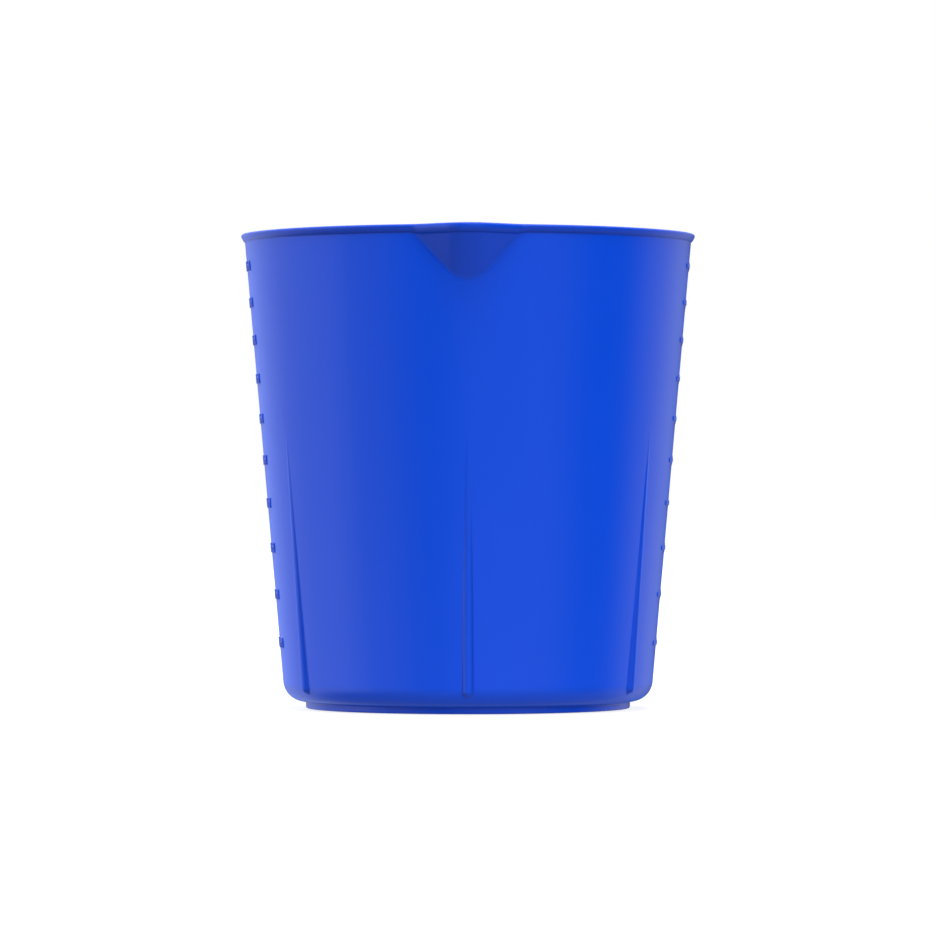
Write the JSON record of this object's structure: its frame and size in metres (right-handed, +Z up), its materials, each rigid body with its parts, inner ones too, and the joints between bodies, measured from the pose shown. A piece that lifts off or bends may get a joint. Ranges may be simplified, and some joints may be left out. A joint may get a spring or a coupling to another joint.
{
  "type": "graduated pouring cup",
  "caption": "Tapered one-piece plastic cup with a pouring spout, rolled rim lip, tapering ribs, a foot ring and raised volume marks on both sides.",
  "frame": {"origin": "on the cup's axis, in the plane that the foot ring stands on", "axes": "+Z up along the cup's axis, -Y towards the pouring spout, +X to the right seen from the spout's side"},
  "size_m": [0.1224, 0.1302, 0.1275],
  "materials": {
    "shell": "satin moulded polypropylene, blue",
    "marks": "satin moulded polypropylene, the same blue, raised marks"
  },
  "bodies": {
    "root": {"side_wall": "shell", "base_corner": "shell", "floor_plate": "shell", "foot_ring": "shell", "rim_bead": "shell", "pour_spout": "shell", "spout_bead": "shell", "rib_front": "shell", "rib_front_right": "shell", "rib_back_right": "shell", "rib_back": "shell", "rib_back_left": "shell", "rib_front_left": "shell", "mark_left_100": "marks", "mark_left_200": "marks", "mark_left_300": "marks", "mark_left_400": "marks", "mark_left_500": "marks", "mark_left_600": "marks", "mark_left_700": "marks", "mark_left_800": "marks", "mark_left_900": "marks", "mark_left_1000": "marks", "mark_right_100": "marks", "mark_right_200": "marks", "mark_right_300": "marks", "mark_right_400": "marks", "mark_right_500": "marks", "mark_right_600": "marks", "mark_right_700": "marks", "mark_right_800": "marks", "mark_right_900": "marks", "mark_right_1000": "marks"}
  },
  "joints": []
}
